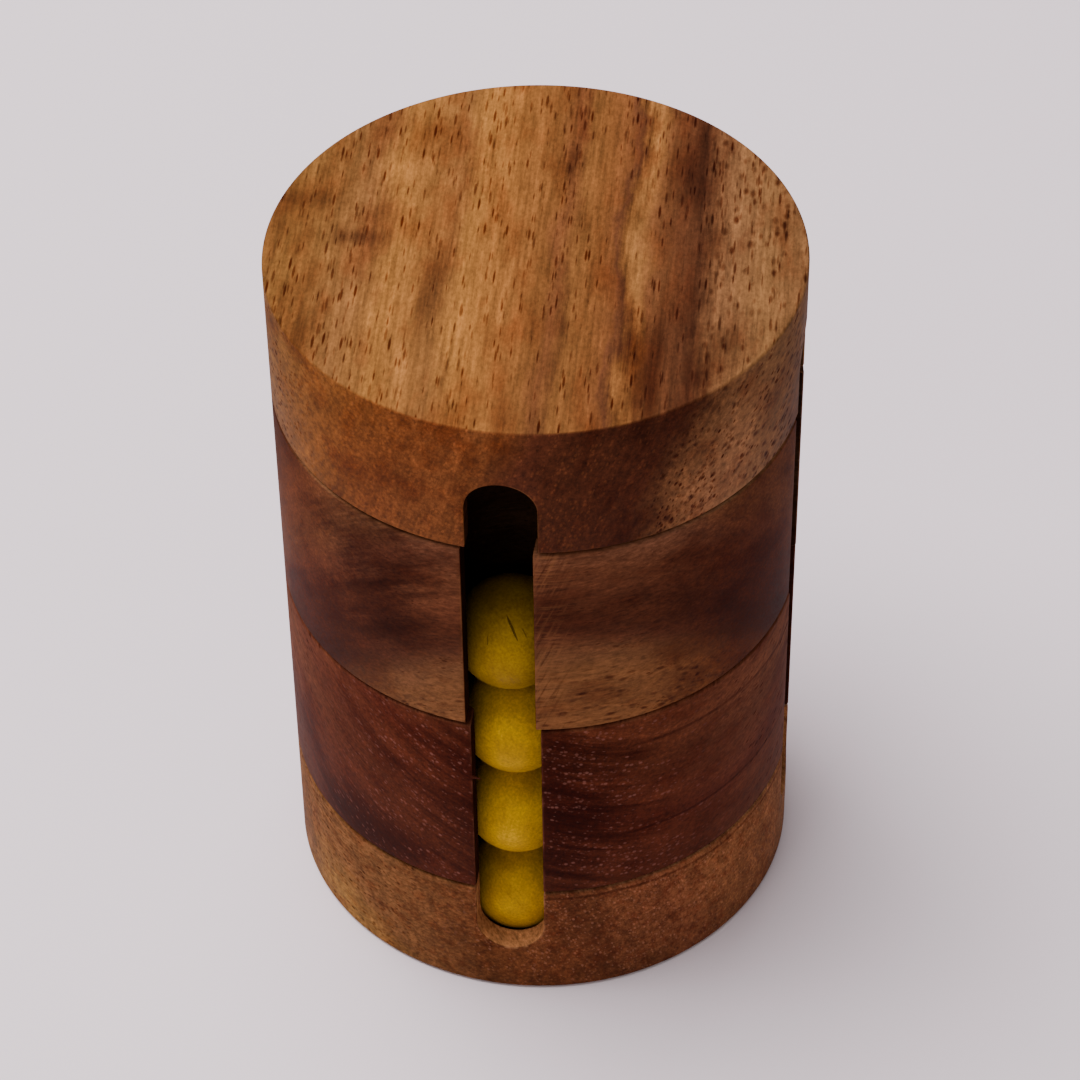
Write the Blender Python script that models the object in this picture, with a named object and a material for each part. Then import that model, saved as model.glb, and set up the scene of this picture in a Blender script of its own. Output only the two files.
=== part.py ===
"""Ball-sorting barrel puzzle in oiled dark hardwood, about 65 mm across and 97 mm tall.

Four turned layers stand on one centre line: a base, two rings that turn, and a cap. The base and
the cap are glued to a dowel that runs up the middle, so only the rings turn. Four columns of
coloured wooden balls stand in channels bored down through the layers, and a slot milled from
outside shows each column. The front column faces -Y.
"""

import math

import bmesh
import bpy
from mathutils import Matrix, Vector

# Driving dimensions, in metres.
BARREL_DIAMETER = 0.065
BARREL_HEIGHT = 0.0967
BASE_HEIGHT = 0.01815
RING_HEIGHT = 0.02945
SEAM_GAP = 0.0003
EASED_EDGE = 0.0003

COLUMNS = 4
COLUMN_RADIUS = 0.02275
CHANNEL_DIAMETER = 0.0155
SLOT_WIDTH = 0.0086
SLOT_END_FROM_SEAM = 0.0065
POCKET_END_IN_BASE = 0.01145
POCKET_END_IN_CAP = 0.08495

BALL_DIAMETER = 0.0142
LOWEST_BALL = 0.0110
BALL_SPACING = 0.0148
BALLS_PER_COLUMN = 4

DOWEL_DIAMETER = 0.012
DOWEL_CHAMFER = 0.0008
DOWEL_GAP = 0.0003
RING_BORE_GAP = 0.00035
SOCKET_DEPTH = 0.012

# The upper ring stands a little out of line with the other layers.
UPPER_RING_TURN = math.radians(-1.1)

BARREL_STEPS = 72
DOWEL_STEPS = 32
CHANNEL_STEPS = 24
POCKET_ARC_STEPS = 6
SLOT_ARC_STEPS = 8
BALL_STEPS = 16
BALL_RINGS = 10

# Derived heights of the layers.
BARREL_RADIUS = BARREL_DIAMETER / 2
CHANNEL_RADIUS = CHANNEL_DIAMETER / 2
LOWER_RING_FROM = BASE_HEIGHT + SEAM_GAP
UPPER_RING_FROM = LOWER_RING_FROM + RING_HEIGHT + SEAM_GAP
CAP_FROM = UPPER_RING_FROM + RING_HEIGHT + SEAM_GAP
CUT_BEYOND = 0.002

WOODS = {
    "base": (0.235, 0.110, 0.055),
    "lower_ring": (0.098, 0.030, 0.020),
    "upper_ring": (0.110, 0.050, 0.028),
    "cap": (0.330, 0.165, 0.062),
    "spindle": (0.480, 0.330, 0.180),
}
DYES = {
    "yellow": (0.560, 0.420, 0.012),
    "red": (0.420, 0.028, 0.018),
    "green": (0.040, 0.230, 0.050),
    "blue": (0.020, 0.085, 0.330),
}


def clear_scene():
    for obj in list(bpy.data.objects):
        bpy.data.objects.remove(obj, do_unlink=True)


def finish_material(name, colour, roughness):
    material = bpy.data.materials.new(name)
    material.use_nodes = True
    surface = material.node_tree.nodes["Principled BSDF"]
    surface.inputs["Base Color"].default_value = (*colour, 1.0)
    surface.inputs["Roughness"].default_value = roughness
    surface.inputs["Metallic"].default_value = 0.0
    return material


def object_from(shape, name, parent):
    """Turns a bmesh into a named object with outward faces, under its parent."""
    bmesh.ops.recalc_face_normals(shape, faces=shape.faces)
    mesh = bpy.data.meshes.new(name)
    shape.to_mesh(mesh)
    shape.free()
    mesh.shade_smooth()
    mesh.set_sharp_from_angle(angle=math.radians(30))
    obj = bpy.data.objects.new(name, mesh)
    obj.parent = parent
    bpy.context.scene.collection.objects.link(obj)
    return obj


def joint_axis(name, turn=0.0, parent=None):
    """An empty at the origin, whose Z axis is a turning piece's axis."""
    empty = bpy.data.objects.new(name, None)
    empty.empty_display_size = 0.01
    empty.rotation_euler.z = turn
    empty.parent = parent
    bpy.context.scene.collection.objects.link(empty)
    return empty


def turned(profile, steps, closed=False):
    """Spins a profile of (radius, height) points round the Z axis. An open one starts and ends on it."""
    shape = bmesh.new()
    points = [shape.verts.new((radius, 0.0, height)) for radius, height in profile]
    pairs = list(zip(points, points[1:]))
    if closed:
        pairs.append((points[-1], points[0]))
    edges = [shape.edges.new(pair) for pair in pairs]
    bmesh.ops.spin(
        shape,
        geom=points + edges,
        cent=(0.0, 0.0, 0.0),
        axis=(0.0, 0.0, 1.0),
        angle=2 * math.pi,
        steps=steps,
        use_merge=True,
    )
    bmesh.ops.remove_doubles(shape, verts=shape.verts, dist=1e-6)
    return shape


def repeated_per_column(shape):
    """Copies a cutter made on the front column to all the columns."""
    pattern = shape.verts[:] + shape.edges[:] + shape.faces[:]
    for column in range(1, COLUMNS):
        copied = bmesh.ops.duplicate(shape, geom=pattern)["geom"]
        corners = [part for part in copied if isinstance(part, bmesh.types.BMVert)]
        turn = Matrix.Rotation(column * 2 * math.pi / COLUMNS, 3, "Z")
        bmesh.ops.rotate(shape, verts=corners, cent=(0.0, 0.0, 0.0), matrix=turn)
    return shape


def channel_profile(low, high, round_low=False, round_high=False):
    """The outline of a bored channel, from its lowest point on its axis to its highest."""
    quarter = [i * math.pi / 2 / POCKET_ARC_STEPS for i in range(POCKET_ARC_STEPS + 1)]
    if round_low:
        lower = [(CHANNEL_RADIUS * math.sin(a), low - CHANNEL_RADIUS * math.cos(a)) for a in quarter]
    else:
        lower = [(0.0, low), (CHANNEL_RADIUS, low)]
    if round_high:
        upper = [(CHANNEL_RADIUS * math.cos(a), high + CHANNEL_RADIUS * math.sin(a)) for a in quarter]
    else:
        upper = [(CHANNEL_RADIUS, high), (0.0, high)]
    return lower + upper


def slot_outline(low, high, round_low=False, round_high=False):
    """The front view of a slot, as (x, z) points in order. A round end is a half circle."""
    half = SLOT_WIDTH / 2
    arc = [i * math.pi / SLOT_ARC_STEPS for i in range(SLOT_ARC_STEPS + 1)]
    upper = [(half, high), (-half, high)]
    if round_high:
        upper = [(half * math.cos(a), high + half * math.sin(a)) for a in arc]
    lower = [(-half, low), (half, low)]
    if round_low:
        lower = [(-half * math.cos(a), low - half * math.sin(a)) for a in arc]
    return upper + lower


def cutter(shape, name, parent):
    obj = object_from(repeated_per_column(shape), name, parent)
    obj.hide_render = True
    obj.display_type = "WIRE"
    return obj


def slot_shape(outline):
    """A slot's cutter, from the middle of the front channel out through the barrel's face."""
    shape = bmesh.new()
    corners = [shape.verts.new((x, -COLUMN_RADIUS, z)) for x, z in outline]
    face = shape.faces.new(corners)
    pushed = bmesh.ops.extrude_face_region(shape, geom=[face])["geom"]
    moved = [part for part in pushed if isinstance(part, bmesh.types.BMVert)]
    outward = Vector((0.0, COLUMN_RADIUS - BARREL_RADIUS - CUT_BEYOND, 0.0))
    bmesh.ops.translate(shape, verts=moved, vec=outward)
    return shape


def cut_columns(layer, low, high, round_low=None, round_high=None):
    """Bores the ball channels through a layer and mills their slots.

    round_low and round_high are the heights where a pocket's and its slot's round ends are centred.
    """
    pocket_low, slot_low = round_low or (low - CUT_BEYOND, low - CUT_BEYOND)
    pocket_high, slot_high = round_high or (high + CUT_BEYOND, high + CUT_BEYOND)
    ends = {"round_low": round_low is not None, "round_high": round_high is not None}
    channels = turned(channel_profile(pocket_low, pocket_high, **ends), CHANNEL_STEPS)
    bmesh.ops.translate(channels, verts=channels.verts, vec=(0.0, -COLUMN_RADIUS, 0.0))
    slots = slot_shape(slot_outline(slot_low, slot_high, **ends))
    for word, shape in (("channels", channels), ("slots", slots)):
        cut = layer.modifiers.new(word, "BOOLEAN")
        cut.operation = "DIFFERENCE"
        cut.solver = "EXACT"
        cut.object = cutter(shape, f"{layer.name}_{word}_cutter", layer.parent)


def eased_side(low, high):
    """The turned outer side of a layer, from its lower rim to its upper rim."""
    return [
        (BARREL_RADIUS - EASED_EDGE, low),
        (BARREL_RADIUS, low + EASED_EDGE),
        (BARREL_RADIUS, high - EASED_EDGE),
        (BARREL_RADIUS - EASED_EDGE, high),
    ]


def make_layer(name, profile, parent, closed=False):
    layer = object_from(turned(profile, BARREL_STEPS, closed), name, parent)
    layer.data.materials.append(finish_material(f"oiled_wood_{name}", WOODS[name], 0.42))
    return layer


def make_base(parent):
    top = BASE_HEIGHT
    socket = DOWEL_DIAMETER / 2 + DOWEL_GAP
    floor = top - SOCKET_DEPTH
    profile = [(0.0, 0.0), *eased_side(0.0, top), (socket, top), (socket, floor), (0.0, floor)]
    base = make_layer("base", profile, parent)
    slot_end = BASE_HEIGHT + SEAM_GAP / 2 - SLOT_END_FROM_SEAM
    cut_columns(base, 0.0, top, round_low=(POCKET_END_IN_BASE, slot_end))


def make_ring(name, low, parent):
    high = low + RING_HEIGHT
    bore = DOWEL_DIAMETER / 2 + RING_BORE_GAP
    profile = [(bore, low), *eased_side(low, high), (bore, high)]
    ring = make_layer(name, profile, parent, closed=True)
    cut_columns(ring, low, high)


def make_cap(parent):
    socket = DOWEL_DIAMETER / 2 + DOWEL_GAP
    ceiling = CAP_FROM + SOCKET_DEPTH
    profile = [
        (0.0, ceiling),
        (socket, ceiling),
        (socket, CAP_FROM),
        *eased_side(CAP_FROM, BARREL_HEIGHT),
        (0.0, BARREL_HEIGHT),
    ]
    cap = make_layer("cap", profile, parent)
    slot_end = CAP_FROM - SEAM_GAP / 2 + SLOT_END_FROM_SEAM
    cut_columns(cap, CAP_FROM, BARREL_HEIGHT, round_high=(POCKET_END_IN_CAP, slot_end))


def make_spindle(parent):
    """The dowel, glued into the blind sockets of the base and the cap."""
    radius = DOWEL_DIAMETER / 2
    low = BASE_HEIGHT - SOCKET_DEPTH + DOWEL_GAP
    high = CAP_FROM + SOCKET_DEPTH - DOWEL_GAP
    profile = [
        (0.0, low),
        (radius - DOWEL_CHAMFER, low),
        (radius, low + DOWEL_CHAMFER),
        (radius, high - DOWEL_CHAMFER),
        (radius - DOWEL_CHAMFER, high),
        (0.0, high),
    ]
    spindle = object_from(turned(profile, DOWEL_STEPS), "spindle", parent)
    spindle.data.materials.append(finish_material("birch_dowel", WOODS["spindle"], 0.60))


def make_balls(holders):
    """One column of balls for each colour. holders gives, from the bottom up, what carries each ball."""
    for column, (colour, tint) in enumerate(DYES.items()):
        dye = finish_material(f"dyed_wood_{colour}", tint, 0.48)
        direction = -math.pi / 2 + column * 2 * math.pi / COLUMNS
        for place in range(BALLS_PER_COLUMN):
            name = f"{colour}_ball_{BALLS_PER_COLUMN - place}"
            shape = bmesh.new()
            bmesh.ops.create_uvsphere(
                shape,
                u_segments=BALL_STEPS,
                v_segments=BALL_RINGS,
                radius=BALL_DIAMETER / 2,
            )
            ball = object_from(shape, name, holders[place])
            ball.location = (
                COLUMN_RADIUS * math.cos(direction),
                COLUMN_RADIUS * math.sin(direction),
                LOWEST_BALL + place * BALL_SPACING,
            )
            ball.data.materials.append(dye)


def main():
    clear_scene()
    frame = joint_axis("barrel_axis")
    lower_axis = joint_axis("lower_ring_axis", parent=frame)
    upper_axis = joint_axis("upper_ring_axis", turn=UPPER_RING_TURN, parent=frame)
    make_base(frame)
    make_spindle(frame)
    make_cap(frame)
    make_ring("lower_ring", LOWER_RING_FROM, lower_axis)
    make_ring("upper_ring", UPPER_RING_FROM, upper_axis)
    make_balls(holders=[frame, lower_axis, lower_axis, upper_axis])


main()
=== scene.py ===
# %% [markdown]
# # A turned barrel puzzle in oiled hardwood
#
# The real object is a small wooden barrel, 65 mm across and 97 mm tall. A lathe turned it in four
# layers, a mill cut four slots down its side, and dyed wooden balls stand in the channels behind
# the slots. The two middle layers turn on a dowel.
#
# A packed engineering model gives every piece its place and size. This lesson loads it, leaves it
# where it is, and builds the visible surface of each piece around it: finer edges, real wood
# grain, and a little wear.

import math
import random

import bmesh
import bpy
import numpy as np
from mathutils import Euler, Matrix, Vector


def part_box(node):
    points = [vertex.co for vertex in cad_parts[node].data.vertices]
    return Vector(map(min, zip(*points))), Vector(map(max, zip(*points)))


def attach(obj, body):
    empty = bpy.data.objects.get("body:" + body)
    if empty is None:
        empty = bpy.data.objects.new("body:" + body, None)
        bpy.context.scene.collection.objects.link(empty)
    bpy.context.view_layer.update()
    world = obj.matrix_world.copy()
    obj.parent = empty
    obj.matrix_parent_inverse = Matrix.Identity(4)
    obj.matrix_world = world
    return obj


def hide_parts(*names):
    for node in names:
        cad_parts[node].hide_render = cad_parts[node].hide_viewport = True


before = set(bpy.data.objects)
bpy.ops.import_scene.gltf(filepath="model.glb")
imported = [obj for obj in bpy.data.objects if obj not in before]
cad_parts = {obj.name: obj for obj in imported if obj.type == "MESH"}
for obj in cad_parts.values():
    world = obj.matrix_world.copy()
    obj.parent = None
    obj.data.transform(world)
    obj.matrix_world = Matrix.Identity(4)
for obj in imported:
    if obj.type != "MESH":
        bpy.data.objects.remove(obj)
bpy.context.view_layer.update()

# %% [markdown]
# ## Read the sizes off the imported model
#
# A maker measures the parts before making a new face for them. Only the sizes that a box can't
# show, such as the slot width, are written down again.

# %% Layer heights, barrel radius and ball centres
LAYERS = ("base", "lower_ring", "upper_ring", "cap")
COLOURS = ("yellow", "red", "green", "blue")
COLUMNS = len(COLOURS)
BALLS_PER_COLUMN = 4

SLOT_WIDTH = 0.0086
SLOT_END_FROM_SEAM = 0.0065
CHANNEL_RADIUS = 0.00775
POCKET_END = {"base": 0.01145, "cap": 0.08495}
SEAM_GAP = 0.0003
EASED_RIM = 0.0003
EASED_SLOT = 0.00016
DOWEL_RADIUS = 0.006
DOWEL_SOCKET = 0.012
DOWEL_GAP = 0.0003
RING_BORE_GAP = 0.00035
UPPER_RING_TURN = math.radians(-1.1)

barrel_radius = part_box("base")[1].x
level = {layer: (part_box(layer)[0].z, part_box(layer)[1].z) for layer in LAYERS}


def ball_centre(ball):
    low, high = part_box(ball)
    return (low + high) / 2


ball_radius = (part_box("yellow_ball_1")[1].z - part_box("yellow_ball_1")[0].z) / 2
column_radius = ball_centre("yellow_ball_4").xy.length
for layer in LAYERS:
    print(f"{layer}: {1000 * level[layer][0]:.2f} to {1000 * level[layer][1]:.2f} mm")
print(f"ball radius {1000 * ball_radius:.2f} mm, columns {1000 * column_radius:.2f} mm from the axis")

# %% [markdown]
# ## Place the camera
#
# The camera stands close and high, a little to the right of the front slot, and looks down at the
# barrel with a long lens. The turn, the tilt and a slight roll are three turns about one axis each,
# so their matrices are multiplied in the order in which a tripod head has them.

# %% Camera
CAMERA_TURN = math.radians(8.1)
CAMERA_DOWN = math.radians(43.8)
CAMERA_ROLL = math.radians(-0.89)
CAMERA_FROM_AXIS = 0.3610
CAMERA_HEIGHT = 0.3953
CAMERA_LENS = 131.3

camera = bpy.data.objects.new("camera", bpy.data.cameras.new("camera"))
bpy.context.scene.collection.objects.link(camera)
camera.data.lens = CAMERA_LENS
camera.data.sensor_width = 36.0
camera.data.clip_start = 0.01
camera.data.clip_end = 10.0
head = (
    Matrix.Rotation(CAMERA_TURN, 4, "Z")
    @ Matrix.Rotation(math.pi / 2 - CAMERA_DOWN, 4, "X")
    @ Matrix.Rotation(CAMERA_ROLL, 4, "Z")
)
stand = Vector((
    CAMERA_FROM_AXIS * math.sin(CAMERA_TURN),
    -CAMERA_FROM_AXIS * math.cos(CAMERA_TURN),
    CAMERA_HEIGHT,
))
camera.matrix_world = Matrix.Translation(stand) @ head
bpy.context.scene.camera = camera
print("camera at", [round(1000 * v) for v in stand], "mm")

# %% [markdown]
# ## One helper for colours and one for nodes
#
# Paint charts and screens give a colour as an sRGB hex value, but a renderer adds light up in
# linear values, so one function converts. A second function adds a node, sets it up and links it,
# so that a material reads as a list of what is done to the wood.

# %% Colour and node helpers
def tint(code, alpha=1.0):
    """A hex colour such as "#a0703c" as linear values."""
    channels = [int(code[i:i + 2], 16) / 255 for i in (1, 3, 5)]
    return (*[c / 12.92 if c <= 0.04045 else ((c + 0.055) / 1.055) ** 2.4 for c in channels], alpha)


def add(tree, kind, inputs=None, stops=None, **settings):
    """Adds a node and returns its outputs. An input is a value or another node's output.

    stops are a colour ramp's (position, hex colour) pairs.
    """
    node = tree.nodes.new("ShaderNode" + kind)
    for name, value in settings.items():
        setattr(node, name, value)
    for socket, value in (inputs or {}).items():
        if isinstance(value, bpy.types.NodeSocket):
            tree.links.new(value, node.inputs[socket])
        else:
            node.inputs[socket].default_value = value
    if stops:
        ramp = node.color_ramp
        ramp.elements.remove(ramp.elements[-1])
        ramp.elements[0].position, ramp.elements[0].color = stops[0][0], tint(stops[0][1])
        for position, code in stops[1:]:
            ramp.elements.new(position).color = tint(code)
    return node.outputs


print("orange-brown", [round(c, 3) for c in tint("#a0703c")])

# %% [markdown]
# ## Soft studio light and a pale floor
#
# The barrel stands on a plain pale surface. Real daylight from a window behind it and to the left
# is a large soft source, so a big area light stands there. The rest of the room gives some of that
# light back: a weak second light stands in front, and the world adds an even glow. A large light
# makes the soft-edged shadow to the right.

# %% World, lights and floor
world = bpy.data.worlds.new("pale_room")
world.use_nodes = True
background = world.node_tree.nodes["Background"]
background.inputs["Color"].default_value = tint("#f4f0f4")
background.inputs["Strength"].default_value = 0.38
bpy.context.scene.world = world


def soft_light(name, place, width, watts, code):
    """A square area light at a place, turned towards the barrel's middle."""
    light = bpy.data.objects.new(name, bpy.data.lights.new(name, "AREA"))
    bpy.context.scene.collection.objects.link(light)
    light.data.size = width
    light.data.energy = watts
    light.data.color = tint(code)[:3]
    light.location = place
    light.rotation_euler = (Vector((0, 0, 0.05)) - Vector(place)).to_track_quat("-Z", "Y").to_euler()


soft_light("window", (-0.38, 0.12, 1.10), 0.9, 27.0, "#fff8fb")
soft_light("room", (-0.22, -0.80, 0.62), 0.7, 2.4, "#fff6f0")

bpy.ops.object.select_all(action="DESELECT")
bpy.ops.mesh.primitive_plane_add(size=4.0, location=(0, 0, -0.0002))
floor = bpy.context.object
floor.name = "floor"
floor_paint = bpy.data.materials.new("matt_white_paint")
floor_paint.use_nodes = True
paint = floor_paint.node_tree.nodes["Principled BSDF"]
paint.inputs["Base Color"].default_value = tint("#e6dbe0")
paint.inputs["Roughness"].default_value = 0.7
floor.data.materials.append(floor_paint)

# %% [markdown]
# ## Oiled hardwood as a solid texture
#
# The layers are cut from different boards of the same wood, a dark streaky acacia with open pores,
# then oiled. A flat picture of wood would show its seams round a rim, so the wood here is a solid
# texture: every point inside the board has a colour, and the lathe only uncovers it. That is how
# the stripes of the real cap run over its rim and down its side.
#
# Three directions describe a board. The grain runs along the trunk, the growth direction crosses
# the year's layers, and the third lies in the layers, beside the grain. The first step measures a
# point in millimetres along the three, and how squarely its face cuts the grain.

# %% Measure a point in its board
def measured(tree, board):
    """A point's place, its place in the board, its growth distance, and its share of end grain."""
    place = add(tree, "TexCoord")
    spot = add(tree, "Mapping", {
        0: place["Object"],
        "Scale": (1000, 1000, 1000),
        "Rotation": (0, 0, board.get("turned_back", 0.0)),
    })[0]
    grain = Vector(board["grain"]).normalized()
    growth = Vector(board["growth"])
    sideways = grain.cross(growth).normalized()
    across = add(tree, "VectorMath", {0: spot, 1: growth}, operation="DOT_PRODUCT")["Value"]
    across = add(tree, "Math", {0: across, 1: board["growth_start"]}, operation="ADD")[0]
    along = add(tree, "VectorMath", {0: spot, 1: grain}, operation="DOT_PRODUCT")["Value"]
    beside = add(tree, "VectorMath", {0: spot, 1: sideways}, operation="DOT_PRODUCT")["Value"]
    in_board = add(tree, "CombineXYZ", {0: across, 1: along, 2: beside})[0]

    facing = add(tree, "VectorMath", {0: place["Normal"], 1: grain}, operation="DOT_PRODUCT")["Value"]
    facing = add(tree, "Math", {0: facing}, operation="ABSOLUTE")[0]
    end_grain = add(tree, "MapRange", {0: facing, 1: 0.35, 2: 0.85}, interpolation_type="SMOOTHSTEP")[0]
    return spot, in_board, across, end_grain


print("a point is measured across, along and beside the grain")

# %% [markdown]
# ## The patterns of a board
#
# Soft noise makes every pattern of the wood. What tells the patterns apart is the size of their
# cells: a fibre is long along the grain and thin across it, a growth band is a wide sheet, and grit
# is finer than both. So each pattern divides the board position by its own cell sizes.

# %% Noise in cells of real sizes
GRIT_SIZE = (0.42, 0.75, 0.42)  # mm; the real grit is finer, but it would not show


def grown_patterns(tree, board, in_board):
    kinds = {
        "sway": (board["wave_size"], 2.0, 0.6),
        "fibre": (board["fibre_size"], 5.0, 0.65),
        "band": (board["band_size"], 3.0, 0.6),
        "mottle": (board["mottle_size"], 4.0, 0.6),
        "grit": (GRIT_SIZE, 2.0, 0.7),
    }
    if "ripple_size" in board:
        kinds["ripple"] = (board["ripple_size"], 2.0, 0.6)
    grown = {}
    for kind, (sizes, detail, roughness) in kinds.items():
        cells = add(tree, "VectorMath", {0: in_board, 1: sizes}, operation="DIVIDE")["Vector"]
        settings = {0: cells, "Scale": 1.0, "Detail": detail, "Roughness": roughness}
        grown[kind] = add(tree, "TexNoise", settings)[0]
    return grown


print("grit cells of", GRIT_SIZE, "mm")

# %% [markdown]
# ## Stripes, light and stains
#
# A board's stripes are a colour ramp over its growth distance. No tree grows straight, so that
# distance first wanders a little, and its borders turn ragged with the fibres and blotchy with the
# figure. Every pattern then makes the stripe a little lighter and darker. A stain is a blurred
# ellipsoid at its own place in the board.

# %% Stripe colours
def wandering(tree, board, across, grown):
    """The growth distance, with the noise patterns added to it."""
    depth = across
    for kind, reach in (
        ("sway", 2 * board["wander"]),
        ("fibre", board["ragged"]),
        ("mottle", board["blotchy"]),
    ):
        swing = add(tree, "Math", {0: grown[kind], 1: 0.5}, operation="SUBTRACT")[0]
        depth = add(tree, "Math", {0: swing, 1: reach, 2: depth}, operation="MULTIPLY_ADD")[0]
    return depth


def striped(tree, depth, stops):
    """The colour at a growth distance. The stops are in millimetres."""
    first, last = stops[0][0], stops[-1][0]
    share = [((mm - first) / (last - first), code) for mm, code in stops]
    reached = add(tree, "MapRange", {0: depth, 1: first, 2: last})[0]
    return add(tree, "ValToRGB", {0: reached}, stops=share)[0]


# %% Lighter and darker streaks, and stains
STREAKS = (
    # The pattern, the noise values between which it fades, and the kind of fade.
    ("fibre", 0.2, 0.8, "LINEAR"),
    ("band", 0.25, 0.75, "LINEAR"),
    ("mottle", 0.28, 0.72, "LINEAR"),
    ("grit", 0.3, 0.7, "LINEAR"),
    ("ripple", 0.3, 0.7, "SMOOTHSTEP"),
)


def streak_light(tree, board, grown):
    """How many times lighter than its stripe a point is."""
    light = 1.0
    for kind, low, high, fade in STREAKS:
        if kind in grown:
            swing = board[kind + "_depth"]
            ends = {0: grown[kind], 1: low, 2: high, 3: 1 - swing, 4: 1 + swing}
            streak = add(tree, "MapRange", ends, interpolation_type=fade)[0]
            light = add(tree, "Math", {0: light, 1: streak}, operation="MULTIPLY")[0]
    return light


def stained(tree, board, spot, grown, colour):
    swing = add(tree, "Math", {0: grown["band"], 1: 0.5}, operation="SUBTRACT")[0]
    for centre, size, code, strength in board.get("stains", ()):
        away = add(tree, "VectorMath", {0: spot, 1: centre}, operation="SUBTRACT")["Vector"]
        away = add(tree, "VectorMath", {0: away, 1: size}, operation="DIVIDE")["Vector"]
        away = add(tree, "VectorMath", {0: away}, operation="LENGTH")["Value"]
        away = add(tree, "Math", {0: swing, 1: 1.4, 2: away}, operation="MULTIPLY_ADD")[0]
        ends = {0: away, 1: 1.15, 2: 0.2, 4: strength}
        amount = add(tree, "MapRange", ends, interpolation_type="SMOOTHSTEP")[0]
        colour = add(tree, "MixRGB", {0: amount, 1: colour, 2: tint(code)}, blend_type="MULTIPLY")[0]
    return colour


print("streaks of", ", ".join(kind for kind, *_ in STREAKS))

# %% [markdown]
# ## Open pores
#
# Acacia is full of open vessels. Cut lengthwise, on a side face, they are dark dashes. Cut across,
# on the end grain, they are dots, which hold pale wax here. Both are the same long cells of a
# Voronoi texture, stretched along the grain. Each cell draws a chance, and the ones under a share
# that follows the growth bands are open. Some boards have a zone of larger pores between two
# growth distances.

# %% Pores
BIG_PORE_SHARES = (0.45, 1.35)


def pore_pattern(tree, in_board, band, sizes, shares, widest, soft_edge):
    """Long cells with an open middle. The two shares say how many are open in thin and in rich bands."""
    cells = add(tree, "VectorMath", {0: in_board, 1: sizes}, operation="DIVIDE")["Vector"]
    found = add(tree, "TexVoronoi", {"Vector": cells, "Scale": 1.0, "Randomness": 1.0})
    chance = add(tree, "SeparateColor", {0: found["Color"]})
    open_share = add(tree, "MapRange", {0: band, 1: 0.38, 2: 0.62, 3: shares[0], 4: shares[1]})[0]
    width = add(tree, "Math", {0: open_share, 1: chance[0]}, operation="SUBTRACT")[0]
    width = add(tree, "Math", {0: width, 1: widest}, operation="MINIMUM")[0]
    inside = add(tree, "Math", {0: width, 1: found["Distance"]}, operation="SUBTRACT")[0]
    pore = add(tree, "Math", {0: inside, 1: 1 / soft_edge}, operation="MULTIPLY", use_clamp=True)[0]
    strength = add(tree, "MapRange", {0: chance[1], 3: 0.5})[0]
    return add(tree, "Math", {0: pore, 1: strength}, operation="MULTIPLY")[0]


def with_pores(tree, board, in_board, grown, depth, end_grain, colour):
    """Returns the colour with pores in it, and the pores themselves for the relief."""
    dark = tint(board["pore_tint"])
    pore = 0.0
    for sizes, *shares, strength in board["pores"]:
        one_kind = pore_pattern(tree, in_board, grown["band"], sizes, shares, 0.34, 0.15)
        one_kind = add(tree, "Math", {0: one_kind, 1: strength}, operation="MULTIPLY")[0]
        pore = add(tree, "Math", {0: pore, 1: one_kind}, operation="MAXIMUM")[0]
    pale = add(tree, "Math", {0: end_grain, 1: board["speck_light"]}, operation="MULTIPLY")[0]

    if "big_pores" in board:
        low, high, sizes = board["big_pores"]
        past_low = add(tree, "MapRange", {0: depth, 1: low - 2.5, 2: low + 2.5})[0]
        before_high = add(tree, "MapRange", {0: depth, 1: high - 1.5, 2: high + 1.5, 3: 1.0, 4: 0.0})[0]
        zone = add(tree, "Math", {0: past_low, 1: before_high}, operation="MULTIPLY")[0]
        big_pore = pore_pattern(tree, in_board, grown["band"], sizes, BIG_PORE_SHARES, 0.5, 0.3)
        big_pore = add(tree, "Math", {0: big_pore, 1: zone}, operation="MULTIPLY")[0]
        big_dark = add(tree, "Math", {0: big_pore, 1: 0.9}, operation="MULTIPLY")[0]
        outside = add(tree, "Math", {0: 1.0, 1: zone}, operation="SUBTRACT")[0]
        pale = add(tree, "Math", {0: pale, 1: outside}, operation="MULTIPLY")[0]
        colour = add(tree, "MixRGB", {0: big_dark, 1: colour, 2: dark}, blend_type="MULTIPLY")[0]

    unwaxed = add(tree, "Math", {0: 1.0, 1: pale}, operation="SUBTRACT")[0]
    dark_pore = add(tree, "Math", {0: pore, 1: unwaxed}, operation="MULTIPLY")[0]
    colour = add(tree, "MixRGB", {0: dark_pore, 1: colour, 2: dark}, blend_type="MULTIPLY")[0]
    wax = add(tree, "VectorMath", {0: colour, "Scale": 2.1}, operation="SCALE")["Vector"]
    wax = add(tree, "MixRGB", {0: board["speck_blend"], 1: wax, 2: tint(board["speck_colour"])})[0]
    speck = add(tree, "Math", {0: pore, 1: pale}, operation="MULTIPLY")[0]
    return add(tree, "MixRGB", {0: speck, 1: colour, 2: wax})[0], pore


print("big pores take a share of", BIG_PORE_SHARES, "of the cells")
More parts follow.
